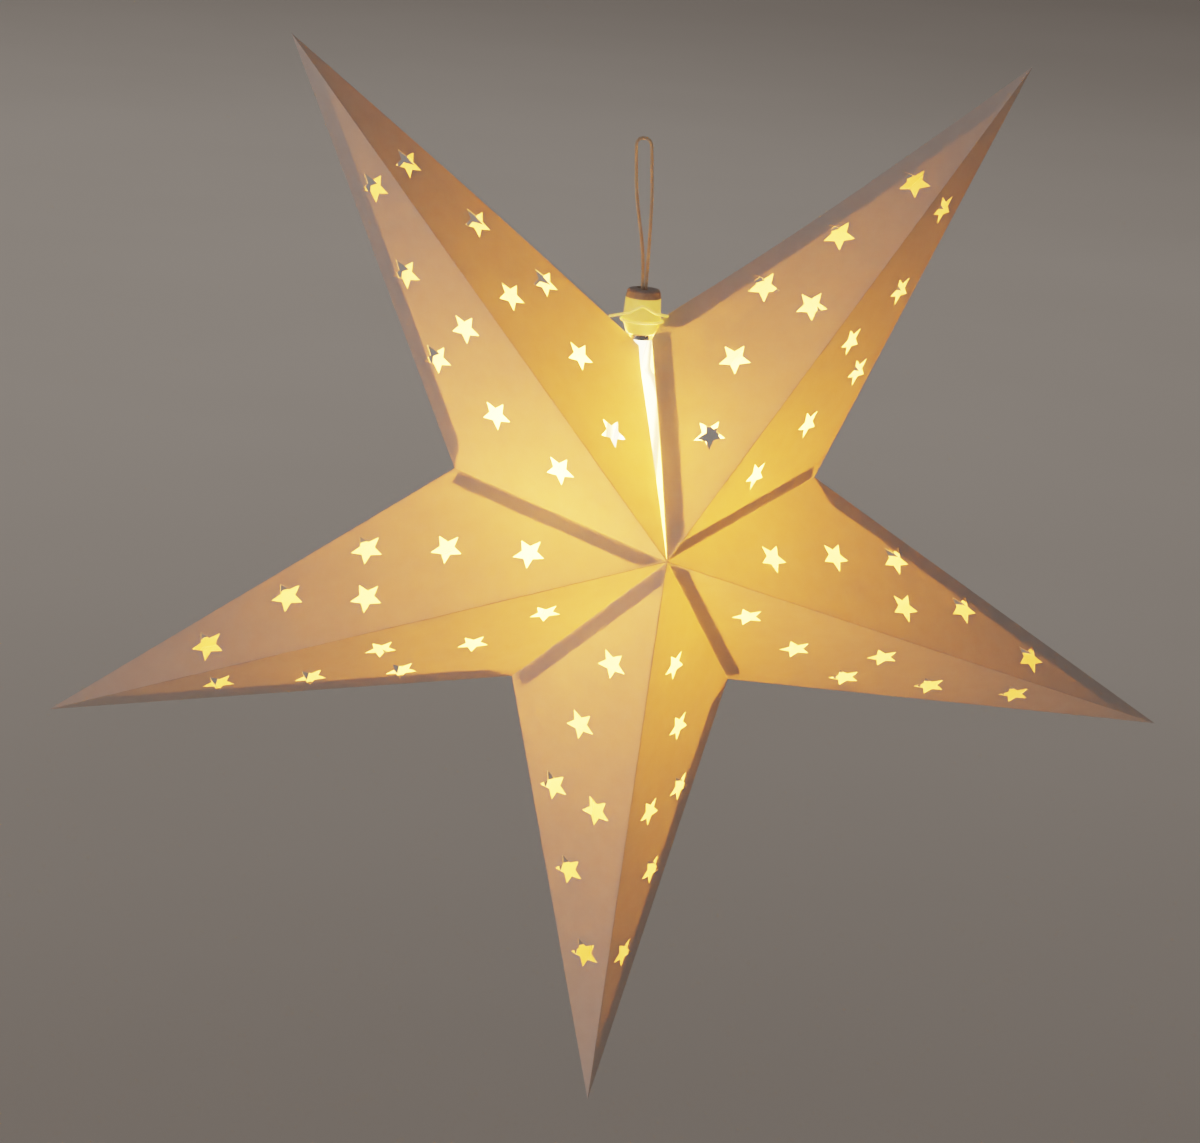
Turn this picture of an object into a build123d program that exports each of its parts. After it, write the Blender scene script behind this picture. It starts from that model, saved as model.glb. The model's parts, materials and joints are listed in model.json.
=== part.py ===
from build123d import *

import os
from math import cos, hypot, pi, radians, sin

# Folding five-pointed paper star lantern, hung by a loop of thin cord.
# Millimetres, +Z up, the front faces -Y. The origin is the inside of the
# hanging loop's top, where a hook carries it. The star hangs a little askew,
# so its middle and its lampholder are not straight below the hook.

# Star
STAR_X = 9.5                 # from the hook to the star's centre, sideways
TIP_RADIUS = 315.0           # centre to the tip of an arm
NOTCH_RADIUS = 100.0         # centre to the notch between two arms
HALF_DEPTH = 78.0            # centre to the front or back apex
SEAM_GAP_DEG = 5.0           # the opening seam at the top, standing ajar
ARM_DEG = (360.0 - SEAM_GAP_DEG) / 5
PAPER = 0.3
RIDGE_CLEARANCE = 0.55       # from a crease line to the edge of its panel
OUTLINE_CLEARANCE = 0.45
VALLEY_CLEARANCE = 0.3

# Arms clockwise from the seam, seen from the front
ARMS = ["top_right", "right", "bottom", "left", "top_left"]

# Star-shaped cut-outs of one panel: along its ridge from the apex, aside of it
CUTOUTS = [(238.5, 14.5), (194.0, 31.0), (149.5, 47.0), (154.0, 20.0), (109.0, 36.5), (68.0, 23.0)]
CUTOUT_RADIUS = 8.6
CUTOUT_INNER_RADIUS = 4.0

# Glued tabs, a second layer inside the panel
OUTLINE_TAB_WIDTH = 9.0
OUTLINE_TAB_MITRE_DEG = 33.0
VALLEY_TAB_WIDTH = 8.0
VALLEY_TAB_END = 3.0         # from the notch to the squared end
TAB_CREASE_CLEARANCE = 1.1

# Corner of the seam cut round the lamp's neck
NECK_CUT_RADIUS = 9.6
NECK_CUT = 60.0              # how far the cut reaches along the neck

# Lampholder, heights above the star's centre
HOLDER_X = 6.2               # from the hook to the holder's axis, sideways
HOLDER_BOTTOM = 102.5
HOLDER_SHOULDER = 108.5
HOLDER_TOP = 120.8
HOLDER_BOTTOM_RADIUS = 7.8
HOLDER_RADIUS = 9.8
HOLDER_TOP_RADIUS = 9.1
HOLDER_BORE_RADIUS = 8.1
HOLDER_LIP_RADIUS = 7.15
HOLDER_LIP = 1.5             # height of the lip at the bottom of the bore
HOLDER_LIP_TAPER = 3.0       # height over which the lip runs out to the bore
CAP_TOP = 125.0
CAP_TOP_RADIUS = 8.5
CAP_CAVITY_RADIUS = 7.9
CAP_CHAMFER = 0.8
CAP_PLATE = 1.8
CORD_HOLE_RADIUS = 2.0
CABLE_ENTRY_RADIUS = 2.55
CABLE_ENTRY_Y = 5.1

# Inside the lampholder
SLEEVE_BOTTOM, SLEEVE_TOP = 105.7, 115.0
SLEEVE_BORE_RADIUS, SLEEVE_RADIUS = 7.1, 7.6
SLEEVE_FLANGE_RADIUS, SLEEVE_FLANGE = 7.9, 0.5
INSERT_BOTTOM, INSERT_TOP = 116.8, 120.2
INSERT_RADIUS = 7.9
CONTACT_HOLE_RADIUS = 1.7
CONTACT_BOTTOM = 116.0
CONTACT_HEAD_RADIUS, CONTACT_SHANK_RADIUS = 2.8, 1.5
TERMINAL_X = 5.3             # centre to each terminal screw
TERMINAL_HOLE_RADIUS, TERMINAL_HOLE = 1.3, 2.5
SCREW_SHANK_RADIUS, SCREW_SHANK = 1.2, 2.2
SCREW_HEAD_RADIUS, SCREW_HEAD = 2.0, 0.8
SCREW_SLOT_WIDTH, SCREW_SLOT_DEPTH = 0.5, 0.3

# Lamp
LAMP_SHELL_RADIUS = 6.9
LAMP_SHELL_WALL = 1.0
LAMP_THREAD_DEPTH = 0.5
LAMP_THREAD_PITCH = 2.82
LAMP_THREAD_TURNS = 3
LAMP_THREAD_START = 2.2      # above the shell's bottom
LAMP_SHELL_BOTTOM = 99.4
LAMP_SHELL_TOP = 112.0
INSULATOR_RADIUS, INSULATOR_TOP_RADIUS = 6.2, 3.0
INSULATOR_TOP = 114.6
LAMP_TIP_RADIUS, LAMP_TIP_TOP_RADIUS = 2.6, 1.4
LAMP_TIP_TOP = 115.9
GLASS_WALL = 0.7
GLASS_NECK_RADIUS = 6.3
GLASS_RADIUS = 14.0
GLASS_NECK_END, GLASS_FLARE, GLASS_SHOULDER, GLASS_FULL = 86.0, 81.0, 73.0, 66.0
GLASS_FLARE_WIDENING = 2.2   # over the neck's radius
GLASS_SHOULDER_INSET = 1.4   # under the full radius
GLASS_BOTTOM = 0.0
STEM_ROOT_RADIUS, STEM_WAIST_RADIUS, STEM_RADIUS = 4.6, 2.2, 1.6
STEM_WAIST, STEM_BOTTOM = 88.0, 58.0
FILAMENTS = 4
FILAMENT_CIRCLE = 5.5
FILAMENT_RADIUS = 0.8
FILAMENT_BOTTOM, FILAMENT_TOP = 10.0, 54.0
WIRE_RADIUS = 0.25
WIRE_CIRCLE = 1.9            # where the support wires leave the stem
WIRE_ABOVE_STEM = 2.0
WIRE_ABOVE_FILAMENT = 0.3

# Wire clip that holds the two seam corners to the holder
CLIP_WIRE = 1.4
CLIP_RING_HEIGHT = 109.0
CLIP_RING_GAP = 0.8          # from the holder to the middle of the wire
CLIP_ROUTE = [                # (x from the holder's axis, y, height)
    (-18.0, -3.2, 111.0), (-9.0, -9.8, 114.2), (-3.3, -12.6, 118.5), (4.4, -11.6, 114.3), (13.8, -1.0, 111.3),
]
CLIP_BEND_RADIUS = 3.0

# Hanging loop
CORD_DIAMETER = 1.8
LOOP_TOP = 203.0
LOOP_HALF_WIDTH = 4.1
LOOP_WIDE_FROM = 171.0       # height from which the strands run parallel
LOOP_WIDE_X = 2.8            # middle of the two strands there
LOOP_JOINS_AT = 141.0        # height below which the strands run side by side
STRAND_GAP = 0.1
LOOP_BEND_RADIUS = 4.0       # round the hook
KNOT_RADIUS, KNOT_END_RADIUS = 3.0, 2.3
KNOT_HEIGHT = 1.4
WASHER = 0.5
WASHER_HOLE_RADIUS, WASHER_RADIUS = 2.05, 4.0
CENTRE_Z = -(LOOP_TOP - CORD_DIAMETER / 2)


def up(height):
    """Height above the star's centre, as a height in the part's frame."""
    return CENTRE_Z + height


def star_point(radius, degrees):
    angle = radians(degrees)
    return Vector(STAR_X + radius * cos(angle), 0, up(radius * sin(angle)))


def clip(outline, point, inward):
    """Cut a convex outline with a line, and keep the side that inward points to."""
    def depth(p):
        return (p[0] - point[0]) * inward[0] + (p[1] - point[1]) * inward[1]

    kept = []
    for start, end in zip(outline, outline[1:] + outline[:1]):
        a, b = depth(start), depth(end)
        if a >= 0:
            kept.append(start)
        if a * b < 0:
            t = a / (a - b)
            kept.append((start[0] + t * (end[0] - start[0]), start[1] + t * (end[1] - start[1])))
    return kept


# One panel, flat: the apex at (0, 0), the tip on the first axis, the notch above it
RIDGE = hypot(TIP_RADIUS, HALF_DEPTH)
VALLEY = hypot(NOTCH_RADIUS, HALF_DEPTH)
APEX, TIP = (0.0, 0.0), (RIDGE, 0.0)
NOTCH_ALONG = (HALF_DEPTH**2 + TIP_RADIUS * NOTCH_RADIUS * cos(radians(ARM_DEG / 2))) / RIDGE
NOTCH = (NOTCH_ALONG, (VALLEY**2 - NOTCH_ALONG**2) ** 0.5)
OUTLINE = hypot(TIP[0] - NOTCH[0], NOTCH[1])
VALLEY_DIRECTION = (NOTCH[0] / VALLEY, NOTCH[1] / VALLEY)
OUTLINE_DIRECTION = ((TIP[0] - NOTCH[0]) / OUTLINE, -NOTCH[1] / OUTLINE)
FROM_RIDGE = (0.0, 1.0)
FROM_VALLEY = (VALLEY_DIRECTION[1], -VALLEY_DIRECTION[0])
FROM_OUTLINE = (OUTLINE_DIRECTION[1], -OUTLINE_DIRECTION[0])


def step(point, direction, distance):
    return (point[0] + direction[0] * distance, point[1] + direction[1] * distance)


def inset_triangle(ridge, valley, outline):
    """The panel's triangle, pulled back from its three creases."""
    corners = clip([APEX, TIP, NOTCH], step(APEX, FROM_RIDGE, ridge), FROM_RIDGE)
    corners = clip(corners, step(APEX, FROM_VALLEY, valley), FROM_VALLEY)
    return clip(corners, step(TIP, FROM_OUTLINE, outline), FROM_OUTLINE)


def outline_tab_shape():
    corners = inset_triangle(TAB_CREASE_CLEARANCE, VALLEY_CLEARANCE, TAB_CREASE_CLEARANCE)
    inner_line = step(TIP, FROM_OUTLINE, OUTLINE_TAB_WIDTH)
    corners = clip(corners, inner_line, (-FROM_OUTLINE[0], -FROM_OUTLINE[1]))
    mitre = radians(OUTLINE_TAB_MITRE_DEG)
    along = (OUTLINE_DIRECTION[0] * sin(mitre), OUTLINE_DIRECTION[1] * sin(mitre))
    return clip(corners, NOTCH, step(along, FROM_OUTLINE, -cos(mitre)))


def valley_tab_shape():
    corners = inset_triangle(TAB_CREASE_CLEARANCE, VALLEY_CLEARANCE, TAB_CREASE_CLEARANCE)
    inner_line = step(APEX, FROM_VALLEY, VALLEY_TAB_WIDTH)
    corners = clip(corners, inner_line, (-FROM_VALLEY[0], -FROM_VALLEY[1]))
    squared_end = step(NOTCH, VALLEY_DIRECTION, -VALLEY_TAB_END)
    return clip(corners, squared_end, (-VALLEY_DIRECTION[0], -VALLEY_DIRECTION[1]))


def cutout_shape(centre):
    """A five-pointed star with one point towards the arm's tip."""
    corners = []
    for k in range(10):
        radius = CUTOUT_RADIUS if k % 2 == 0 else CUTOUT_INNER_RADIUS
        corners.append(step(centre, (cos(k * pi / 5), sin(k * pi / 5)), radius))
    return corners


def panel_plane(arm, side, face):
    """Outer plane of a panel, with its ridge along x, and the side that its notch is on.

    Side is -1 for the panel on the arm's clockwise side and 1 for the other.
    Face is -1 for the front and 1 for the back.
    """
    middle = 90.0 - SEAM_GAP_DEG / 2 - ARM_DEG * (arm + 0.5)
    apex = Vector(STAR_X, face * HALF_DEPTH, up(0))
    tip = star_point(TIP_RADIUS, middle)
    notch = star_point(NOTCH_RADIUS, middle + side * ARM_DEG / 2)
    along = (tip - apex).normalized()
    normal = along.cross(notch - apex).normalized()
    if normal.Y * face < 0:
        normal = normal * -1
    plane = Plane(origin=apex, x_dir=along, z_dir=normal)
    hand = 1 if plane.y_dir.dot(notch - apex) > 0 else -1
    return plane, hand


def sheet(plane, hand, outline, layer=0, holes=()):
    """A flat sheet of paper on the panel's plane, or one layer further inside."""
    def face_of(corners):
        flat = [(x, hand * y) for x, y in corners]
        return make_face(Polyline(*flat, close=True))

    shape = face_of(outline)
    for hole in holes:
        shape -= face_of(hole)
    top = plane.offset(-PAPER * layer)
    return extrude(top * shape, amount=PAPER, dir=top.z_dir * -1)


def ring(inner, outer, bottom, top):
    """A plain tube round the holder's axis, between two heights above the star's centre."""
    body = Cylinder(outer, top - bottom) - Cylinder(inner, top - bottom)
    return Pos(HOLDER_X, 0, up((bottom + top) / 2)) * body


def turned(profile):
    """A solid of revolution round the holder's axis from (radius, height above the star's centre) points."""
    points = [(radius, 0, up(height)) for radius, height in profile]
    return Pos(HOLDER_X, 0, 0) * revolve(make_face(Polyline(*points, close=True)), Axis.Z)


parts = {}

# Panels and tabs
neck = Pos(HOLDER_X, 0, up(NOTCH_RADIUS)) * Cylinder(NECK_CUT_RADIUS, NECK_CUT)
panel_shape = inset_triangle(RIDGE_CLEARANCE, VALLEY_CLEARANCE, OUTLINE_CLEARANCE)
cutouts = [cutout_shape(centre) for centre in CUTOUTS]

for arm, name in enumerate(ARMS):
    for face, face_name in ((-1, "front"), (1, "back")):
        for side, letter in ((-1, "a"), (1, "b")):
            plane, hand = panel_plane(arm, side, face)
            by_seam = (arm == 0 and side == 1) or (arm == 4 and side == -1)
            panel = sheet(plane, hand, panel_shape, holes=cutouts)
            parts[f"{name}_{face_name}_panel_{letter}"] = panel - neck if by_seam else panel
            if side == 1 and face == -1:
                tab = sheet(plane, hand, outline_tab_shape(), layer=1)
                parts[f"{name}_outline_tab"] = tab - neck if by_seam else tab
            if side == -1 and arm < 4:
                parts[f"{name}_{face_name}_valley_tab"] = sheet(plane, hand, valley_tab_shape(), layer=1)
            if side == 1 and arm == 0:
                parts[f"seam_{face_name}_tab"] = sheet(plane, hand, valley_tab_shape(), layer=1) - neck

# Lampholder
parts["holder_body"] = turned([
    (HOLDER_LIP_RADIUS, HOLDER_BOTTOM),
    (HOLDER_BOTTOM_RADIUS, HOLDER_BOTTOM),
    (HOLDER_RADIUS, HOLDER_SHOULDER),
    (HOLDER_TOP_RADIUS, HOLDER_TOP),
    (HOLDER_BORE_RADIUS, HOLDER_TOP),
    (HOLDER_BORE_RADIUS, HOLDER_BOTTOM + HOLDER_LIP + HOLDER_LIP_TAPER),
    (HOLDER_LIP_RADIUS, HOLDER_BOTTOM + HOLDER_LIP),
])
cap = turned([
    (0, CAP_TOP),
    (CAP_TOP_RADIUS - CAP_CHAMFER, CAP_TOP),
    (CAP_TOP_RADIUS, CAP_TOP - CAP_CHAMFER),
    (HOLDER_TOP_RADIUS, HOLDER_TOP),
    (CAP_CAVITY_RADIUS, HOLDER_TOP),
    (CAP_CAVITY_RADIUS, CAP_TOP - CAP_PLATE),
    (0, CAP_TOP - CAP_PLATE),
])
cap -= Pos(HOLDER_X, 0, up(CAP_TOP)) * Cylinder(CORD_HOLE_RADIUS, 3 * CAP_PLATE)
cap -= Pos(HOLDER_X, CABLE_ENTRY_Y, up(CAP_TOP)) * Cylinder(CABLE_ENTRY_RADIUS, 3 * CAP_PLATE)
parts["holder_cap"] = cap

# Inside the lampholder
sleeve = ring(SLEEVE_BORE_RADIUS, SLEEVE_RADIUS, SLEEVE_BOTTOM, SLEEVE_TOP)
sleeve += ring(SLEEVE_BORE_RADIUS, SLEEVE_FLANGE_RADIUS, SLEEVE_TOP, SLEEVE_TOP + SLEEVE_FLANGE)
parts["threaded_sleeve"] = sleeve
insert = ring(CONTACT_HOLE_RADIUS, INSERT_RADIUS, INSERT_BOTTOM, INSERT_TOP)
terminals = [Pos(HOLDER_X + side * TERMINAL_X, 0, up(INSERT_TOP)) for side in (-1, 1)]
for terminal in terminals:
    insert -= terminal * Cylinder(TERMINAL_HOLE_RADIUS, 2 * TERMINAL_HOLE)
parts["terminal_insert"] = insert
parts["centre_contact"] = turned([
    (0, CONTACT_BOTTOM),
    (CONTACT_HEAD_RADIUS, CONTACT_BOTTOM),
    (CONTACT_HEAD_RADIUS, INSERT_BOTTOM),
    (CONTACT_SHANK_RADIUS, INSERT_BOTTOM),
    (CONTACT_SHANK_RADIUS, INSERT_TOP),
    (0, INSERT_TOP),
])
screw = Pos(0, 0, -SCREW_SHANK / 2) * Cylinder(SCREW_SHANK_RADIUS, SCREW_SHANK)
screw += Pos(0, 0, SCREW_HEAD / 2) * Cylinder(SCREW_HEAD_RADIUS, SCREW_HEAD)
screw -= Pos(0, 0, SCREW_HEAD) * Box(2 * SCREW_HEAD_RADIUS, SCREW_SLOT_WIDTH, 2 * SCREW_SLOT_DEPTH)
parts["terminal_screws"] = Compound([terminal * screw for terminal in terminals])

# Lamp: screw shell, insulator, tip contact, glass and what is inside it
shell_inner, shell_root = LAMP_SHELL_RADIUS - LAMP_SHELL_WALL, LAMP_SHELL_RADIUS - LAMP_THREAD_DEPTH
thread_start = LAMP_SHELL_BOTTOM + LAMP_THREAD_START
shell_profile = [(shell_inner, LAMP_SHELL_BOTTOM), (LAMP_SHELL_RADIUS, LAMP_SHELL_BOTTOM)]
for turn in range(LAMP_THREAD_TURNS):
    root = thread_start + turn * LAMP_THREAD_PITCH
    shell_profile += [(shell_root, root), (LAMP_SHELL_RADIUS, root + LAMP_THREAD_PITCH / 2)]
thread_end = thread_start + LAMP_THREAD_TURNS * LAMP_THREAD_PITCH
shell_profile += [(shell_root, thread_end), (shell_root, LAMP_SHELL_TOP), (shell_inner, LAMP_SHELL_TOP)]
parts["lamp_screw_shell"] = turned(shell_profile)
parts["lamp_insulator"] = turned([
    (0, LAMP_SHELL_TOP),
    (INSULATOR_RADIUS, LAMP_SHELL_TOP),
    (INSULATOR_TOP_RADIUS, INSULATOR_TOP),
    (0, INSULATOR_TOP),
])
parts["lamp_tip_contact"] = turned([
    (0, INSULATOR_TOP),
    (LAMP_TIP_RADIUS, INSULATOR_TOP),
    (LAMP_TIP_TOP_RADIUS, LAMP_TIP_TOP),
    (0, LAMP_TIP_TOP),
])


def glass_section(inset):
    """Half the section of the lamp's glass, pulled in from its outside by inset."""
    neck_radius, radius = GLASS_NECK_RADIUS - inset, GLASS_RADIUS - inset
    dome_centre = up(GLASS_BOTTOM + GLASS_RADIUS)
    neck_top = (neck_radius, up(LAMP_SHELL_BOTTOM))
    shoulder = [
        (neck_radius, up(GLASS_NECK_END)),
        (neck_radius + GLASS_FLARE_WIDENING, up(GLASS_FLARE)),
        (radius - GLASS_SHOULDER_INSET, up(GLASS_SHOULDER)),
        (radius, up(GLASS_FULL)),
    ]
    curve = Spline(*shoulder, tangents=[(0, -1), (0, -1)])
    neck = Line(neck_top, curve @ 0)
    side = Line(curve @ 1, (radius, dome_centre))
    dome = CenterArc((0, dome_centre), radius, 0, -90)
    axis = Polyline((0, dome_centre - radius), (0, up(LAMP_SHELL_BOTTOM)), neck_top)
    return Plane.XZ * make_face([neck, curve, side, dome, axis])


glass = revolve(glass_section(0), Axis.Z) - revolve(glass_section(GLASS_WALL), Axis.Z)
parts["lamp_glass"] = Pos(HOLDER_X, 0, 0) * glass
parts["lamp_stem"] = turned([
    (0, LAMP_SHELL_BOTTOM),
    (STEM_ROOT_RADIUS, LAMP_SHELL_BOTTOM),
    (STEM_WAIST_RADIUS, STEM_WAIST),
    (STEM_RADIUS, STEM_BOTTOM),
    (0, STEM_BOTTOM),
])
filaments = []
support_wires = []
for k in range(FILAMENTS):
    turn = k * 2 * pi / FILAMENTS
    middle = up((FILAMENT_TOP + FILAMENT_BOTTOM) / 2)
    spot = Pos(HOLDER_X + FILAMENT_CIRCLE * cos(turn), FILAMENT_CIRCLE * sin(turn), middle)
    filaments.append(spot * Cylinder(FILAMENT_RADIUS, FILAMENT_TOP - FILAMENT_BOTTOM))
    stem_end = up(STEM_BOTTOM + WIRE_ABOVE_STEM)
    start = Vector(HOLDER_X + WIRE_CIRCLE * cos(turn), WIRE_CIRCLE * sin(turn), stem_end)
    filament_end = up(FILAMENT_TOP + WIRE_ABOVE_FILAMENT)
    end = Vector(HOLDER_X + FILAMENT_CIRCLE * cos(turn), FILAMENT_CIRCLE * sin(turn), filament_end)
    wire_section = Plane(start, z_dir=end - start) * Circle(WIRE_RADIUS)
    support_wires.append(sweep(wire_section, path=Line(start, end)))
parts["lamp_filaments"] = Compound(filaments)
parts["lamp_support_wires"] = Compound(support_wires)

# Wire clip
clip_ring = Torus(HOLDER_RADIUS + CLIP_RING_GAP, CLIP_WIRE / 2)
parts["clip_ring"] = Pos(HOLDER_X, 0, up(CLIP_RING_HEIGHT)) * clip_ring
clip_points = [(HOLDER_X + x, y, up(height)) for x, y, height in CLIP_ROUTE]
clip_path = FilletPolyline(*clip_points, radius=CLIP_BEND_RADIUS)
parts["clip_arms"] = sweep(Plane(clip_path @ 0, z_dir=clip_path % 0) * Circle(CLIP_WIRE / 2), path=clip_path)

# Hanging loop of cord, its knot and the washer that the knot pulls against
WASHER_TOP = CAP_TOP - CAP_PLATE
KNOT_TOP = WASHER_TOP - WASHER
STRAND_X = (CORD_DIAMETER + STRAND_GAP) / 2
LOOP_STATIONS = [              # (middle of the two strands, half the way between them, height)
    (HOLDER_X, STRAND_X, KNOT_TOP),
    (HOLDER_X, STRAND_X, LOOP_JOINS_AT),
    (LOOP_WIDE_X, LOOP_HALF_WIDTH, LOOP_WIDE_FROM),
    (0.0, LOOP_HALF_WIDTH, LOOP_TOP),
]
left_side = [(middle - half, 0, up(height)) for middle, half, height in LOOP_STATIONS]
right_side = [(middle + half, 0, up(height)) for middle, half, height in reversed(LOOP_STATIONS)]
loop_points = left_side + right_side


def arc_radius(before, point, after):
    """The largest arc that two runs of the cord leave room for."""
    first, second = Vector(*point) - Vector(*before), Vector(*after) - Vector(*point)
    half_turn = radians(first.get_angle(second) / 2)
    return 0.45 * min(first.length, second.length) * cos(half_turn) / sin(half_turn)


loop_radii = [arc_radius(*loop_points[k:k + 3]) for k in range(len(loop_points) - 2)]
loop_radii[2] = loop_radii[3] = LOOP_BEND_RADIUS
print("hanging loop radii", [round(radius, 1) for radius in loop_radii])
loop_path = FilletPolyline(*loop_points, radius=loop_radii)
loop_section = Plane(loop_path @ 0, z_dir=loop_path % 0) * Circle(CORD_DIAMETER / 2)
parts["hanging_loop"] = sweep(loop_section, path=loop_path)
section_volume = pi * (CORD_DIAMETER / 2) ** 2 * loop_path.length
print("hanging loop", round(loop_path.length, 1), "mm, volume", round(parts["hanging_loop"].volume, 1),
      "against", round(section_volume, 1))
parts["loop_knot"] = turned([
    (0, KNOT_TOP),
    (KNOT_END_RADIUS, KNOT_TOP),
    (KNOT_RADIUS, KNOT_TOP - KNOT_HEIGHT / 2),
    (KNOT_END_RADIUS, KNOT_TOP - KNOT_HEIGHT),
    (0, KNOT_TOP - KNOT_HEIGHT),
])
cable_way = Pos(HOLDER_X, CABLE_ENTRY_Y, up(WASHER_TOP)) * Cylinder(CABLE_ENTRY_RADIUS, 2 * CAP_PLATE)
parts["loop_washer"] = ring(WASHER_HOLE_RADIUS, WASHER_RADIUS, KNOT_TOP, WASHER_TOP) - cable_way

os.makedirs("parts", exist_ok=True)
for name, part in parts.items():
    part.label = name
    export_step(part, f"parts/{name}.step")
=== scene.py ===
import json
import math

import bmesh
import bpy
from mathutils import Matrix, Vector, noise
from mathutils.geometry import delaunay_2d_cdt


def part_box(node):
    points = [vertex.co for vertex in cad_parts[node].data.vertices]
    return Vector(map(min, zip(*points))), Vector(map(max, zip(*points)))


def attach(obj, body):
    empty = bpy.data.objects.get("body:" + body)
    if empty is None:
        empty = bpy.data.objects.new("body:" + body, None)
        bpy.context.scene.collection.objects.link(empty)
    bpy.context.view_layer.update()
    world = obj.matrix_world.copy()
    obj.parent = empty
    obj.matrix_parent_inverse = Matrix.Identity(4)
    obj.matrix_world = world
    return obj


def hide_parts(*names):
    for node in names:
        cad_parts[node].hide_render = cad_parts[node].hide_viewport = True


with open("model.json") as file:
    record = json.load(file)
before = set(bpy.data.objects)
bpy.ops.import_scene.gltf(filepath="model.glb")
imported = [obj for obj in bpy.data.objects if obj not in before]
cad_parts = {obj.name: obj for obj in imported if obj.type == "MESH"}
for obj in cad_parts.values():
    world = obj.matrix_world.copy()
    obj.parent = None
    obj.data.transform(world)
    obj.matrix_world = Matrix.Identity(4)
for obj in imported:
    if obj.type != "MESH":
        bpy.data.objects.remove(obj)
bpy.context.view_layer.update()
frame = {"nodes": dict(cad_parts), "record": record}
record = frame["record"]
joints = {joint["name"]: joint for joint in record["behaviour"]["joints"]}
body_of_node = {node: body for body, nodes in record["behaviour"]["bodies"].items() for node in nodes}

# Lengths are in metres.

# Star, read from its creases: the joints lie on them
ARMS = ["top_right", "right", "bottom", "left", "top_left"]
FRONT_APEX = Vector(joints["top_right_front_ridge_fold"]["pos_m"])
CENTRE = Vector((FRONT_APEX.x, 0, FRONT_APEX.z))
HALF_DEPTH = -FRONT_APEX.y
TIPS = [Vector(joints[f"{arm}_outline_fold_a"]["pos_m"]) for arm in ARMS]
valley_axis = Vector(joints["top_right_front_valley_fold"]["axis"])
A_NOTCH = FRONT_APEX - valley_axis * (FRONT_APEX.y / valley_axis.y)
TIP_RADIUS = (TIPS[0] - CENTRE).length
NOTCH_RADIUS = (A_NOTCH - CENTRE).length
HALF_ARM = (TIPS[0] - CENTRE).angle(A_NOTCH - CENTRE)

# One panel, laid flat: the apex at (0, 0), the tip on the first axis, the notch above it
RIDGE = math.hypot(TIP_RADIUS, HALF_DEPTH)
VALLEY = math.hypot(NOTCH_RADIUS, HALF_DEPTH)
NOTCH_ALONG = (HALF_DEPTH**2 + TIP_RADIUS * NOTCH_RADIUS * math.cos(HALF_ARM)) / RIDGE
APEX, TIP = Vector((0, 0)), Vector((RIDGE, 0))
NOTCH = Vector((NOTCH_ALONG, math.sqrt(VALLEY**2 - NOTCH_ALONG**2)))

# Paper
PAPER = 0.00028
TAB_DEPTH = 0.0003                               # how far the tabs lie inside the panel's outer face
CUTOUTS = [                                      # their middles, in rows of three, two and one
    (0.2385, 0.0145), (0.194, 0.031), (0.1495, 0.047), (0.154, 0.020), (0.109, 0.0365), (0.068, 0.023),
]
CUTOUT_RADIUS = 0.0086
CUTOUT_INNER_RADIUS = 0.0040
OUTLINE_TAB_WIDTH = 0.009
OUTLINE_TAB_MARGINS = (0.0012, 0.0004, 0.0003)   # to the ridge, the valley and the outline
OUTLINE_TAB_MITRE = math.radians(33)
VALLEY_TAB_WIDTH = 0.008
VALLEY_TAB_MARGINS = (0.0012, 0.0006, 0.0012)    # to the ridge, the valley and the outline
VALLEY_TAB_END = 0.003                           # from the notch
SEAM_TAB_WIDTH = 0.0098                          # the valley tabs that are left free at the seam
RIDGE_LIP = 0.0012                               # keeps the light in as a back ridge folds
RIDGE_LIP_TAPER = 0.0096                         # how far before the tip its inner edge ends
WAVINESS = 0.0006
WAVES_PER_METRE = 14
WAVES_FULL_AT = 0.03                             # from a crease

# Mesh of a sheet
MESH_STEP = 0.011
FIRST_ROW = 0.6                                  # of a step above the ridge
ROW_SPACING = 0.87                               # of a step
RIM_CLEARANCE = 0.45                             # of a step

# How far the lampholder and its clip push the seam's corners, by (arm, face): sideways, to the back, up
SEAM_CORNERS = {
    (0, -1): (-0.0034, -0.0050, 0.0066),
    (0, 1): (-0.0034, 0.0062, 0.0046),
    (4, -1): (-0.0008, -0.0058, -0.0030),
    (4, 1): (-0.0008, 0.0070, -0.0044),
}
SPLAY_REACH = 0.026
CORNER_STEP = 0.0025                             # between the points of the mesh there
# How much of its edges the top right arm's corner loses beside the lampholder, in front and behind
CORNER_CUT = {-1: 0.0065, 1: 0.0125}

# Hanging loop: the route of part.py, with a point on each side below the hook.
# Middle of the two strands, half the way between them, height above the star's centre.
CORD_DIAMETER = 0.0018
LOOP_STATIONS = [
    (0.0062, 0.00095, 0.1227),
    (0.0062, 0.00095, 0.141),
    (0.0028, 0.0041, 0.171),
    (0.00095, 0.0041, 0.1922),
    (0.0, 0.0041, 0.203),
]
STRANDS = 3
STRAND_PITCH = 0.0062
POINTS_PER_PITCH = 14
STRAND_SIDES = 8

# Lamp and lights
LAMP_X = (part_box("lamp_glass")[0].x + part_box("lamp_glass")[1].x) / 2
LAMP_LOW, LAMP_HIGH = (corner.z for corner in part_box("lamp_filaments"))
LAMP_COLOUR = (1.0, 0.495, 0.06)
LAMP_LIGHT_RADIUS = 0.012
GLASS_GLOW = 9.0
FILAMENT_GLOW = 40.0
PAPER_TRANSLUCENCY = 0.15
KEY_PLACE = (-3.2, -1.6, -0.4)
OVERHEAD_PLACE = (0.5, 7.4, 4.4)
FLOOR_HEIGHT = -1.35
FLOOR_REACH = 30.0

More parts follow.
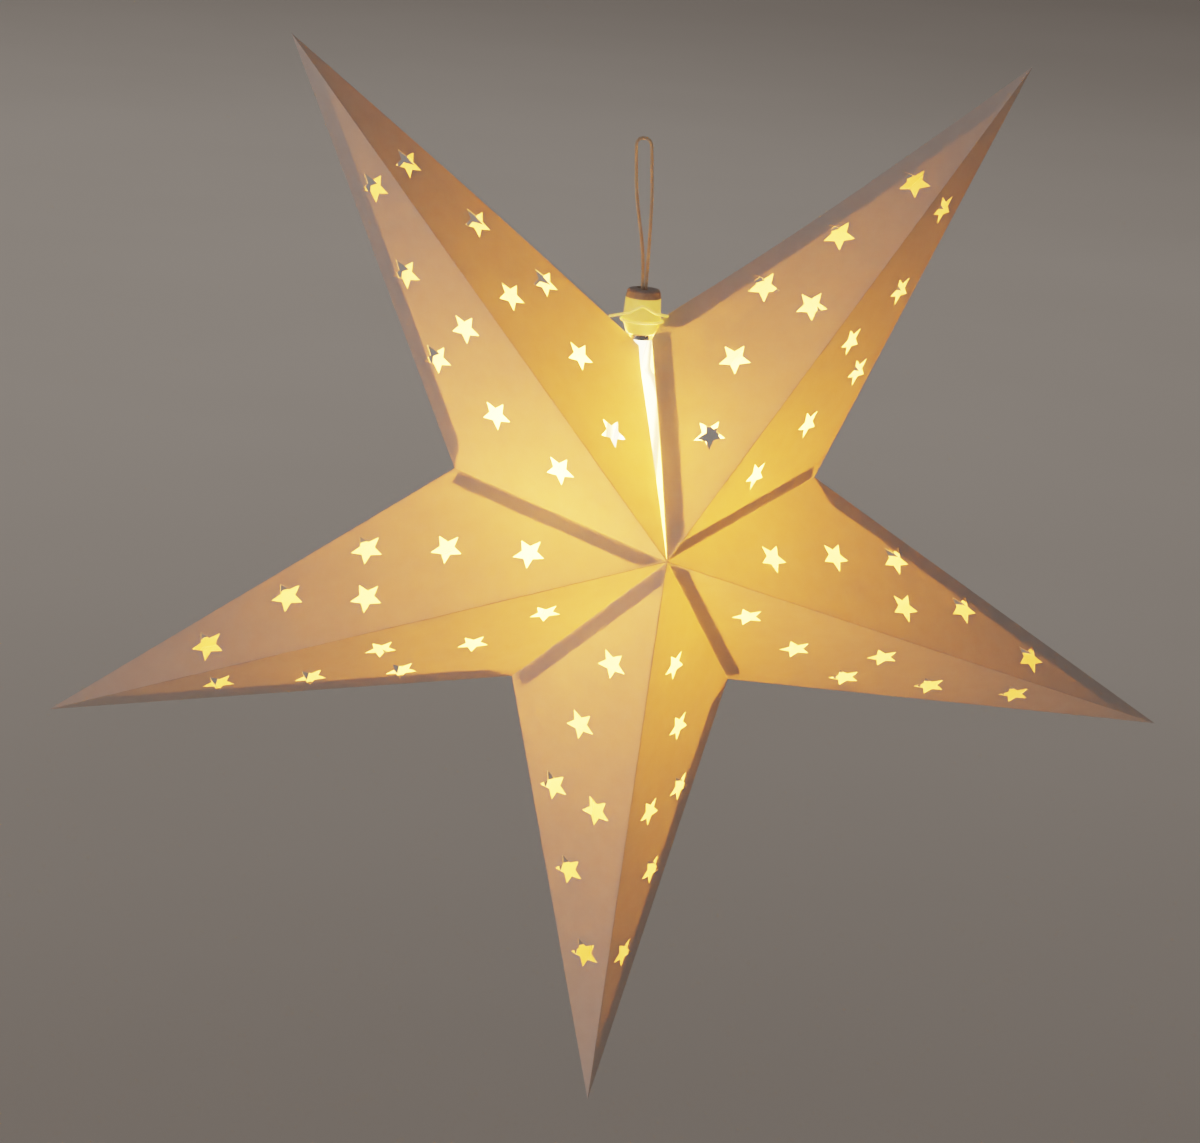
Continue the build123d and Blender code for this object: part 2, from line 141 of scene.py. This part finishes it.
# Camera
CAMERA_PLACE = CENTRE + Vector((-0.5922, -2.3587, 0.5474))
CAMERA_DIRECTION = Vector((0.2313, 0.9455, -0.2293))
CAMERA_ROLL = math.radians(4.35)
CAMERA_LENS = 144.0                              # mm, on a sensor 36 mm wide


# ---------------------------------------------------------------- materials

class Shader:
    """A short way to write a node material."""

    def __init__(self, name):
        self.material = bpy.data.materials.new(name)
        self.material.use_nodes = True
        self.tree = self.material.node_tree
        self.tree.nodes.clear()
        self.out = self.node("OutputMaterial")

    def node(self, kind, settings=None, **inputs):
        node = self.tree.nodes.new("ShaderNode" + kind)
        for key, value in (settings or {}).items():
            setattr(node, key, value)
        for key, value in inputs.items():
            self.put(node.inputs[key.replace("_", " ")], value)
        return node

    def put(self, socket, value):
        if isinstance(value, bpy.types.NodeSocket):
            self.tree.links.new(value, socket)
        else:
            socket.default_value = value

    def noise(self, scale, detail, roughness=0.5):
        coordinates = self.node("TexCoord").outputs["Object"]
        texture = self.node("TexNoise", Vector=coordinates, Scale=scale, Detail=detail, Roughness=roughness)
        return texture.outputs["Fac"]

    def span(self, value, low, high):
        """The value stretched to run from low to high."""
        stretched = self.node("MapRange", Value=value)
        stretched.inputs["To Min"].default_value = low
        stretched.inputs["To Max"].default_value = high
        return stretched.outputs["Result"]

    def ramp(self, value, *stops):
        node = self.node("ValToRGB", Fac=value)
        elements = node.color_ramp.elements
        while len(elements) < len(stops):
            elements.new(0.5)
        for element, (position, colour) in zip(elements, stops):
            element.position = position
            element.color = (*colour, 1)
        return node.outputs["Color"]

    def bump(self, height, strength, distance):
        return self.node("Bump", Height=height, Strength=strength, Distance=distance).outputs["Normal"]

    def mix(self, share, first, second):
        mixed = self.node("MixShader", Fac=share)
        self.tree.links.new(first.outputs[0], mixed.inputs[1])
        self.tree.links.new(second.outputs[0], mixed.inputs[2])
        return mixed

    def finish(self, surface):
        self.tree.links.new(surface.outputs[0], self.out.inputs["Surface"])
        return self.material


def paper_material():
    """Thin white paper: a dull surface that also lets some light through, clouded and finely fibrous."""
    s = Shader("paper")
    cloud = s.noise(scale=110, detail=5, roughness=0.6)
    fibre = s.noise(scale=1500, detail=4, roughness=0.7)
    reflected = s.ramp(cloud, (0.3, (0.92, 0.835, 0.79)), (0.7, (0.955, 0.875, 0.83)))
    passed = s.ramp(cloud, (0.3, (0.95, 0.82, 0.50)), (0.7, (1.0, 0.89, 0.58)))
    normal = s.bump(fibre, 0.25, 0.0001)
    dull = s.node("BsdfDiffuse", Color=reflected, Normal=normal)
    through = s.node("BsdfTranslucent", Color=passed, Normal=normal)
    return s.finish(s.mix(PAPER_TRANSLUCENCY, dull, through))


def solid_material(name, low, high, roughness, metallic=0.0):
    """Metal, plastic or ceramic, mottled between two colours, with a fine surface grain."""
    s = Shader(name)
    mottle = s.noise(scale=480, detail=4)
    fine = s.noise(scale=2400, detail=2)
    body = s.node("BsdfPrincipled", Metallic=metallic, Normal=s.bump(fine, 0.2, 0.00005))
    s.put(body.inputs["Base Color"], s.ramp(mottle, (0.3, low), (0.7, high)))
    s.put(body.inputs["Roughness"], s.span(mottle, roughness * 0.85, roughness * 1.15))
    return s.finish(body)


def plastic_with_painted_glow(name, low, high, depth, glow):
    """White plastic that the lamp's light soaks into, with a painted glow: its emission paints on the lamp
    light that falls on it.
    """
    material = solid_material(name, low, high, roughness=0.35)
    body = next(node for node in material.node_tree.nodes if node.type == "BSDF_PRINCIPLED")
    body.inputs["Subsurface Weight"].default_value = 0.9
    body.inputs["Subsurface Radius"].default_value = (1.0, 0.7, 0.3)
    body.inputs["Subsurface Scale"].default_value = depth
    # Painted light: an orange emission stands in for the lamp's light on this plastic, which is no lamp.
    body.inputs["Emission Color"].default_value = (1.0, 0.62, 0.06, 1)
    body.inputs["Emission Strength"].default_value = glow
    return material


def lit_glass_material():
    """The lit lamp's frosted glass: it glows, and lets the light out."""
    s = Shader("lamp_glass")
    frost = s.noise(scale=260, detail=3)
    colour = s.ramp(frost, (0.3, (1.0, 0.80, 0.42)), (0.7, (1.0, 0.86, 0.52)))
    clear = s.node("BsdfTransparent", Color=(1.0, 0.98, 0.95, 1))
    glow = s.node("Emission", Color=colour, Strength=GLASS_GLOW)
    gloss = s.node("BsdfGlossy", Roughness=s.span(frost, 0.08, 0.2))
    edge = s.node("LayerWeight", Blend=0.2).outputs["Fresnel"]
    return s.finish(s.mix(edge, s.mix(0.12, clear, glow), gloss))


def filament_material():
    """The lit filaments, brighter in places."""
    s = Shader("filament")
    colour = s.ramp(s.noise(scale=700, detail=2), (0.3, (1.0, 0.60, 0.26)), (0.7, (1.0, 0.76, 0.42)))
    return s.finish(s.node("Emission", Color=colour, Strength=FILAMENT_GLOW))


def cord_material():
    """Tan spun yarn, with fine fibres along and across it."""
    s = Shader("cord")
    fibre = s.noise(scale=2600, detail=3, roughness=0.8)
    blend = s.node("Math", {"operation": "MULTIPLY_ADD"})
    s.put(blend.inputs[0], s.noise(scale=160, detail=2))
    blend.inputs[1].default_value = 0.5
    s.put(blend.inputs[2], s.span(fibre, 0.0, 0.5))
    colour = s.ramp(blend.outputs[0], (0.35, (0.84, 0.64, 0.46)), (0.65, (0.98, 0.84, 0.68)))
    body = s.node("BsdfPrincipled", Roughness=0.9, Normal=s.bump(fibre, 0.6, 0.00012))
    s.put(body.inputs["Base Color"], colour)
    s.put(body.inputs["Sheen Weight"], 0.3)
    return s.finish(body)


def floor_material():
    """A plain pale floor, barely mottled."""
    s = Shader("floor")
    colour = s.ramp(s.noise(scale=0.7, detail=3), (0.3, (0.78, 0.74, 0.69)), (0.7, (0.82, 0.78, 0.73)))
    body = s.node("BsdfPrincipled", Roughness=0.9)
    s.put(body.inputs["Base Color"], colour)
    return s.finish(body)


PAPER_LOOK = paper_material()
LOOKS = {
    # The holder and the clip wire carry a painted glow: their emission stands in for the lamp light that
    # falls on them.
    "holder_plastic": plastic_with_painted_glow(
        "holder_plastic", (0.80, 0.74, 0.58), (0.86, 0.80, 0.64), depth=0.012, glow=0.36,
    ),
    "clip_wire": plastic_with_painted_glow(
        "clip_wire", (0.86, 0.83, 0.76), (0.92, 0.90, 0.84), depth=0.003, glow=0.50,
    ),
    "cap_plastic": solid_material("cap_plastic", (0.52, 0.45, 0.42), (0.62, 0.54, 0.50), 0.5),
    "brass": solid_material("brass", (0.62, 0.43, 0.18), (0.75, 0.56, 0.27), 0.3, metallic=1.0),
    "steel": solid_material("steel", (0.50, 0.50, 0.51), (0.62, 0.62, 0.63), 0.3, metallic=1.0),
    "phenolic": solid_material("phenolic", (0.72, 0.69, 0.64), (0.80, 0.78, 0.73), 0.25),
    "lamp_metal": solid_material("lamp_metal", (0.62, 0.62, 0.63), (0.75, 0.75, 0.76), 0.28, metallic=1.0),
    "lamp_black": solid_material("lamp_black", (0.01, 0.01, 0.012), (0.02, 0.02, 0.022), 0.15),
    "lamp_glass": lit_glass_material(),
    "filament": filament_material(),
    "cord": cord_material(),
}


def dress_cad_nodes():
    """Give each CAD node its slot's material; the paper's nodes are all replaced."""
    for part in record["subparts"]:
        look = LOOKS.get(part["material_slot"])
        if look is None:
            continue
        mesh = frame["nodes"][part["node"]].data
        mesh.materials.clear()
        mesh.materials.append(look)


# ------------------------------------------------------------------ pieces

def add_piece(name, mesh, look, node):
    """Make an object of a bmesh, which stands for a CAD node and rides on its body."""
    data = bpy.data.meshes.new(name)
    mesh.to_mesh(data)
    mesh.free()
    data.materials.append(look)
    piece = bpy.data.objects.new(name, data)
    bpy.context.scene.collection.objects.link(piece)
    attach(piece, body_of_node[node])
    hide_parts(node)
    return piece


# ------------------------------------------------------------------- paper

def clip(outline, point, inward):
    """Cut a convex outline with a line, and keep the side that inward points to."""
    kept = []
    for start, end in zip(outline, outline[1:] + outline[:1]):
        a, b = (start - point).dot(inward), (end - point).dot(inward)
        if a >= 0:
            kept.append(start)
        if a * b < 0:
            kept.append(start.lerp(end, a / (a - b)))
    return kept


def square(direction):
    """The direction turned a quarter clockwise."""
    return Vector((direction.y, -direction.x))


ALONG_VALLEY = NOTCH.normalized()
ALONG_OUTLINE = (TIP - NOTCH).normalized()
FROM_VALLEY = square(ALONG_VALLEY)
FROM_OUTLINE = square(ALONG_OUTLINE)
FROM_RIDGE = Vector((0, 1))


def panel_frame(arm, side, face):
    """Apex, ridge direction, direction to the notch and outward normal of a panel.

    Side is -1 on the arm's clockwise side, face is -1 in front.
    """
    apex = CENTRE + Vector((0, face * HALF_DEPTH, 0))
    along = (TIPS[arm] - apex).normalized()
    radial = (TIPS[arm] - CENTRE).normalized()
    notch = CENTRE + Matrix.Rotation(-side * HALF_ARM, 3, "Y") @ radial * NOTCH_RADIUS
    aside = (notch - apex) - along * (notch - apex).dot(along)
    aside.normalize()
    normal = along.cross(aside)
    return apex, along, aside, normal if normal.y * face > 0 else -normal


def fold_lean(one, other):
    """How far an edge leans per unit of thickness where two panels meet.

    Each panel is given as its arm, side and face.
    """
    return math.tan(panel_frame(*one)[3].angle(panel_frame(*other)[3]) / 2)


def crossing(point_a, inward_a, point_b, inward_b):
    """Where two lines cross, each given by a point and the direction square to it."""
    lines = Matrix((inward_a, inward_b))
    return lines.inverted() @ Vector((point_a.dot(inward_a), point_b.dot(inward_b)))


def inner_corners(thickness):
    """Apex, tip and notch of a panel's inner face, where the neighbours' inner faces meet it."""
    ridge = FROM_RIDGE * thickness * fold_lean((0, -1, -1), (0, 1, -1))
    valley = FROM_VALLEY * -thickness * fold_lean((0, -1, -1), (1, 1, -1))
    outline = TIP + FROM_OUTLINE * thickness * fold_lean((0, -1, -1), (0, -1, 1))
    return (
        crossing(ridge, FROM_RIDGE, valley, FROM_VALLEY),
        crossing(ridge, FROM_RIDGE, outline, FROM_OUTLINE),
        crossing(valley, FROM_VALLEY, outline, FROM_OUTLINE),
    )


INNER_APEX, INNER_TIP, INNER_NOTCH = inner_corners(PAPER)


def panel_outline(ridge=0.0, valley=0.0, outline=0.0):
    """The panel's triangle, pulled back from its three creases."""
    corners = clip([APEX, TIP, NOTCH], FROM_RIDGE * ridge, FROM_RIDGE)
    corners = clip(corners, FROM_VALLEY * valley, FROM_VALLEY)
    return clip(corners, TIP + FROM_OUTLINE * outline, FROM_OUTLINE)


def outline_tab():
    corners = panel_outline(*OUTLINE_TAB_MARGINS)
    corners = clip(corners, TIP + FROM_OUTLINE * OUTLINE_TAB_WIDTH, -FROM_OUTLINE)
    mitre = ALONG_OUTLINE * math.sin(OUTLINE_TAB_MITRE) - FROM_OUTLINE * math.cos(OUTLINE_TAB_MITRE)
    return clip(corners, NOTCH, mitre)


def valley_tab(width=VALLEY_TAB_WIDTH):
    corners = panel_outline(*VALLEY_TAB_MARGINS)
    corners = clip(corners, FROM_VALLEY * width, -FROM_VALLEY)
    return clip(corners, NOTCH - ALONG_VALLEY * VALLEY_TAB_END, -ALONG_VALLEY)


def cut_corner(corners, size):
    """The outline without its corner at the notch."""
    on_outline = NOTCH + ALONG_OUTLINE * size
    on_seam = NOTCH - ALONG_VALLEY * size
    return clip(corners, on_outline, square(on_outline - on_seam))


def star_corners(centre):
    """A five-pointed cut-out with one point towards the arm's tip."""
    corners = []
    for k in range(10):
        radius = CUTOUT_INNER_RADIUS if k % 2 else CUTOUT_RADIUS
        turn = k * math.pi / 5
        corners.append(Vector(centre) + radius * Vector((math.cos(turn), math.sin(turn))))
    return corners


def inside(point, corners):
    """Whether a point is inside a closed outline."""
    within = False
    for start, end in zip(corners, corners[1:] + corners[:1]):
        if (start.y > point.y) != (end.y > point.y):
            within ^= point.x < start.x + (point.y - start.y) * (end.x - start.x) / (end.y - start.y)
    return within


def split_points(corners):
    """The outline's corners, with points between them about a step apart."""
    points = []
    for start, end in zip(corners, corners[1:] + corners[:1]):
        count = max(1, round((end - start).length / MESH_STEP))
        points += [start.lerp(end, k / count) for k in range(count)]
    return points


def corner_points():
    """Points round the notch's corner, close enough together for it to bend smoothly."""
    points = []
    for ring in range(1, round(SPLAY_REACH / CORNER_STEP)):
        count = ring + 2
        for k in range(count + 1):
            direction = (-ALONG_VALLEY).lerp(ALONG_OUTLINE, k / count).normalized()
            points.append(NOTCH + direction * ring * CORNER_STEP)
    return points


def filling_points(corners, holes, rim):
    """Points in staggered rows inside an outline, clear of its holes and of the points on its rim."""
    low_x, high_x = min(p.x for p in corners), max(p.x for p in corners)
    high_y = max(p.y for p in corners)
    points = []
    for i in range(int((high_x - low_x) / MESH_STEP)):
        for j in range(int(high_y / MESH_STEP) + 1):
            x = low_x + (i + 0.5 + 0.5 * (j % 2)) * MESH_STEP
            p = Vector((x, (j + FIRST_ROW) * MESH_STEP * ROW_SPACING))
            near_rim = min((p - q).length for q in rim) < MESH_STEP * RIM_CLEARANCE
            if inside(p, corners) and not near_rim and not any(inside(p, hole) for hole in holes):
                points.append(p)
    return points


def flat_mesh(corners, holes, extra=()):
    """Triangles that fill an outline round its holes, with some extra points."""
    points, edges = [], []
    for ring in [split_points(corners)] + holes:
        first = len(points)
        points += ring
        edges += [(first + k, first + (k + 1) % len(ring)) for k in range(len(ring))]
    points += filling_points(corners, holes, list(points))
    points += [p for p in extra if inside(p, corners)]
    verts, _, faces, *_ = delaunay_2d_cdt(points, edges, [], 1, 1e-7)
    kept = []
    for face in faces:
        middle = sum((verts[k] for k in face), Vector((0, 0))) / len(face)
        if inside(middle, corners) and not any(inside(middle, hole) for hole in holes):
            kept.append(face)
    return verts, kept


def crease_distance(point):
    """How far a point of the panel is from the nearest crease."""
    return max(0.0, min(
        (point - APEX).dot(FROM_RIDGE),
        (point - APEX).dot(FROM_VALLEY),
        (point - TIP).dot(FROM_OUTLINE),
    ))


def leaned(point):
    """Where a point on a crease comes on the panel's inner face."""
    if crease_distance(point) > 1e-6:
        return point
    to_notch = point.y / NOTCH.y
    to_tip = (point.x - NOTCH.x * to_notch) / TIP.x
    return INNER_APEX + (INNER_NOTCH - INNER_APEX) * to_notch + (INNER_TIP - INNER_APEX) * to_tip


def corner_shift(point, arm, face):
    """How a point of a panel beside the seam moves with the seam's corner."""
    sideways, back, up = SEAM_CORNERS[arm, face]
    share = max(0.0, point.y / NOTCH.y) ** 3
    near = max(0.0, 1 - (point - NOTCH).length / SPLAY_REACH) ** 2
    return Vector((sideways * share, back * near, up * share))


def add_ridge_lip(mesh, arm):
    """A narrow strip on the inside of a back ridge, under the panel beside it, added to a bmesh."""
    apex, along, aside, normal = panel_frame(arm, -1, 1)
    near = PAPER * fold_lean((0, -1, -1), (0, 1, -1))
    corners = [
        (INNER_APEX.x, near),
        (INNER_TIP.x - RIDGE_LIP, near),
        (INNER_TIP.x - RIDGE_LIP_TAPER, RIDGE_LIP),
        (INNER_APEX.x + RIDGE_LIP, RIDGE_LIP),
    ]
    places = [apex + along * x + aside * y for x, y in corners]
    outer = [mesh.verts.new(place - normal * TAB_DEPTH) for place in places]
    inner = [mesh.verts.new(place - normal * (TAB_DEPTH + PAPER)) for place in places]
    sides = [[outer[k - 1], inner[k - 1], inner[k], outer[k]] for k in range(len(corners))]
    faces = [mesh.faces.new(ring) for ring in (outer, inner, *sides)]
    bmesh.ops.recalc_face_normals(mesh, faces=faces)


def add_rim(mesh, outer, inner):
    """Close a sheet between the open edges of its two layers, given as their vertices in one order."""
    top = set(outer)
    twin = dict(zip(outer, inner))
    for edge in [e for e in mesh.edges if e.is_boundary and e.verts[0] in top and e.verts[1] in top]:
        loop = edge.link_loops[0]
        a, b = loop.vert, loop.link_loop_next.vert
        mesh.faces.new([b, a, twin[a], twin[b]])


def add_sheet(mesh, arm, side, face, flat, depth, by_seam):
    """A thin closed sheet on a panel's plane, gently waved between its creases, added to a bmesh."""
    verts, faces = flat
    apex, along, aside, normal = panel_frame(arm, side, face)
    seed = Vector((arm * 3.1, side * 1.7, face * 2.3))
    used = sorted({k for triangle in faces for k in triangle})
    number = {k: n for n, k in enumerate(used)}
    layers = []
    for level in (depth, depth + PAPER):
        layer = []
        for k in used:
            point = leaned(verts[k]) if level else verts[k]
            free = min(1.0, crease_distance(verts[k]) / WAVES_FULL_AT)
            waved = apex + along * verts[k].x + aside * verts[k].y
            wave = noise.noise(waved * WAVES_PER_METRE + seed) * WAVINESS * free
            place = apex + along * point.x + aside * point.y + normal * (wave - level)
            if by_seam:
                place += corner_shift(verts[k], arm, face)
            layer.append(mesh.verts.new(place))
        layers.append(layer)
    outer, inner = layers
    flip = along.cross(aside).dot(normal) < 0
    for triangle in faces:
        ids = [number[k] for k in triangle]
        if flip:
            ids.reverse()
        mesh.faces.new([outer[k] for k in ids])
        mesh.faces.new([inner[k] for k in reversed(ids)])
    add_rim(mesh, outer, inner)


def paper_piece(node, arm, side, face, corners, holes=(), depth=0.0, slot="paper_tab"):
    """A panel or a tab, cut to its corners and lying at a depth inside the panel's outer face."""
    by_seam = (arm, side) in ((0, 1), (4, -1))
    if (arm, side) == (0, 1):
        corners = cut_corner(corners, CORNER_CUT[face])
    flat = flat_mesh(corners, list(holes), corner_points() if by_seam else ())
    mesh = bmesh.new()
    add_sheet(mesh, arm, side, face, flat, depth, by_seam)
    beside_back_ridge = (side, face) == (1, 1) and slot == "paper"
    if beside_back_ridge:
        add_ridge_lip(mesh, arm)
    mesh.normal_update()
    add_piece(f"paper_{node}", mesh, PAPER_LOOK, node)


def make_paper():
    """Twenty panels with their tabs, named after the CAD nodes that they stand for."""
    stars = [star_corners(centre) for centre in CUTOUTS]
    for arm, name in enumerate(ARMS):
        for face, face_name in ((-1, "front"), (1, "back")):
            for side, letter in ((-1, "a"), (1, "b")):
                place = (arm, side, face)
                node = f"{name}_{face_name}_panel_{letter}"
                paper_piece(node, *place, panel_outline(), stars, slot="paper")
                if side == 1 and face == -1:
                    paper_piece(f"{name}_outline_tab", *place, outline_tab(), depth=TAB_DEPTH)
                if side == -1 and arm < 4:
                    node = f"{name}_{face_name}_valley_tab"
                    paper_piece(node, *place, valley_tab(), depth=TAB_DEPTH)
                if side == 1 and arm == 0:
                    node = f"seam_{face_name}_tab"
                    paper_piece(node, *place, valley_tab(SEAM_TAB_WIDTH), depth=TAB_DEPTH)


# -------------------------------------------------------------------- cord

def smooth_line(route):
    """Closely spaced points along a smooth NURBS line whose control points are the route."""
    curve = bpy.data.curves.new("route", "CURVE")
    curve.dimensions = "3D"
    spline = curve.splines.new("NURBS")
    spline.points.add(len(route) - 1)
    for control, place in zip(spline.points, route):
        control.co = (*place, 1)
    spline.order_u = 3
    spline.use_endpoint_u = True
    spline.resolution_u = 60
    guide = bpy.data.objects.new("route", curve)
    traced = bpy.data.meshes.new_from_object(guide)
    line = [vertex.co.copy() for vertex in traced.vertices]
    bpy.data.meshes.remove(traced)
    bpy.data.objects.remove(guide)
    bpy.data.curves.remove(curve)
    return line


def even_points(line, step):
    """Points at even distances along a line, with the distance that each is at."""
    lengths = [0.0]
    for a, b in zip(line, line[1:]):
        lengths.append(lengths[-1] + (b - a).length)
    count = round(lengths[-1] / step)
    points, k = [], 0
    for n in range(count + 1):
        at = min(lengths[-1] * n / count, lengths[-1])
        while k < len(line) - 2 and lengths[k + 1] < at:
            k += 1
        share = (at - lengths[k]) / (lengths[k + 1] - lengths[k])
        points.append((at, line[k].lerp(line[k + 1], min(share, 1.0))))
    return points


def tangent_at(line, k):
    """The direction of a line of points at one of them."""
    return (line[min(k + 1, len(line) - 1)] - line[max(k - 1, 0)]).normalized()


def add_tube(mesh, line, radius):
    """A closed tube round a line, added to a bmesh."""
    turns = [2 * math.pi * side / STRAND_SIDES for side in range(STRAND_SIDES)]
    rings = []
    for k, point in enumerate(line):
        tangent = tangent_at(line, k)
        first = tangent.cross(Vector((0, 1, 0)))
        if first.length < 0.2:
            first = tangent.cross(Vector((1, 0, 0)))
        first.normalize()
        second = tangent.cross(first)
        around = [first * math.cos(turn) + second * math.sin(turn) for turn in turns]
        rings.append([mesh.verts.new(point + radius * direction) for direction in around])
    for ring, following in zip(rings, rings[1:]):
        for side in range(STRAND_SIDES):
            other = (side + 1) % STRAND_SIDES
            mesh.faces.new([ring[side], ring[other], following[other], following[side]])
    mesh.faces.new(list(reversed(rings[0])))
    mesh.faces.new(rings[-1])


def twisted_strand(points, strand, lay_radius):
    """The line of one strand as it winds round the cord's line."""
    middle = [point for _, point in points]
    winding = []
    for k, (at, point) in enumerate(points):
        across = tangent_at(middle, k).cross(Vector((0, 1, 0)))
        turn = 2 * math.pi * (at / STRAND_PITCH + strand / STRANDS)
        winding.append(point + lay_radius * (across * math.cos(turn) + Vector((0, math.sin(turn), 0))))
    return winding


def loop_route():
    """The hanging loop's route: up one side from the cap, over the hook's place and down the other."""
    left, right = [], []
    for middle, half, height in LOOP_STATIONS:
        left.append(Vector((middle - half, 0, CENTRE.z + height)))
        right.append(Vector((middle + half, 0, CENTRE.z + height)))
    return left + right[::-1]


def make_hanging_loop():
    """A twisted cord that runs up from the cap, round the hook's place and back down."""
    route = loop_route()
    line = smooth_line(route)
    points = even_points(line, STRAND_PITCH / POINTS_PER_PITCH)
    strand_radius = CORD_DIAMETER / 2 / (1 + 2 / math.sqrt(3))
    mesh = bmesh.new()
    for strand in range(STRANDS):
        add_tube(mesh, twisted_strand(points, strand, CORD_DIAMETER / 2 - strand_radius), strand_radius)
    bmesh.ops.recalc_face_normals(mesh, faces=mesh.faces)
    piece = add_piece("twisted_loop", mesh, LOOKS["cord"], "hanging_loop")
    piece.data.shade_smooth()


# -------------------------------------------------------- camera and stage

def make_camera():
    """A long lens, a little to the left of the star and above it, tilted as the star hangs."""
    camera = bpy.data.objects.new("camera", bpy.data.cameras.new("camera"))
    bpy.context.scene.collection.objects.link(camera)
    camera.data.lens = CAMERA_LENS
    camera.data.sensor_width = 36.0
    camera.data.clip_end = 200
    look = CAMERA_DIRECTION.to_track_quat("-Z", "Y").to_matrix().to_4x4()
    camera.matrix_world = Matrix.Translation(CAMERA_PLACE) @ look @ Matrix.Rotation(CAMERA_ROLL, 4, "Z")
    bpy.context.scene.camera = camera


def area_light(name, place, target, size, power, colour, spread=180):
    """A round soft light at a place, aimed at a target."""
    data = bpy.data.lights.new(name, "AREA")
    data.spread = math.radians(spread)
    data.shape = "DISK"
    data.size = size
    data.energy = power
    data.color = colour
    light = bpy.data.objects.new(name, data)
    light.location = place
    light.rotation_mode = "QUATERNION"
    light.rotation_quaternion = (Vector(target) - Vector(place)).to_track_quat("-Z", "Y")
    bpy.context.scene.collection.objects.link(light)


def lamp_light(name, aside, height, power):
    """One end of the lamp's glow."""
    data = bpy.data.lights.new(name, "POINT")
    data.energy = power
    data.color = LAMP_COLOUR
    data.shadow_soft_size = LAMP_LIGHT_RADIUS
    light = bpy.data.objects.new(name, data)
    light.location = (LAMP_X + aside, 0, height)
    bpy.context.scene.collection.objects.link(light)


def make_floor():
    """A wide flat floor below the star."""
    quarters = ((-1, -1), (1, -1), (1, 1), (-1, 1))
    corners = [(x * FLOOR_REACH, y * FLOOR_REACH, FLOOR_HEIGHT) for x, y in quarters]
    data = bpy.data.meshes.new("floor")
    data.from_pydata(corners, [], [(0, 1, 2, 3)])
    data.materials.append(floor_material())
    floor = bpy.data.objects.new("floor", data)
    bpy.context.scene.collection.objects.link(floor)


def make_lights():
    """Two soft studio lights, a dim surround and the two ends of the lit lamp."""
    world = bpy.data.worlds.new("world")
    world.use_nodes = True
    surround = world.node_tree.nodes["Background"]
    surround.inputs["Color"].default_value = (1.0, 0.92, 0.88, 1)
    surround.inputs["Strength"].default_value = 0.10
    bpy.context.scene.world = world
    area_light("key", KEY_PLACE, CENTRE, size=2.4, power=12.0, colour=(1.0, 0.89, 0.87))
    below = (OVERHEAD_PLACE[0], OVERHEAD_PLACE[1], FLOOR_HEIGHT)
    area_light("overhead", OVERHEAD_PLACE, below, size=9.0, power=19.0, colour=(1.0, 0.97, 0.94), spread=90)
    lamp_light("lamp_light_low", aside=-0.006, height=LAMP_LOW, power=5.4)
    lamp_light("lamp_light_high", aside=0, height=LAMP_HIGH, power=2.7)


def set_view():
    """How the lit star's brightness comes out in the picture."""
    view = bpy.context.scene.view_settings
    view.view_transform = "Filmic"
    view.look = "High Contrast"
    view.exposure = 0.5


make_camera()
make_hanging_loop()
dress_cad_nodes()
make_paper()
make_floor()
make_lights()
set_view()
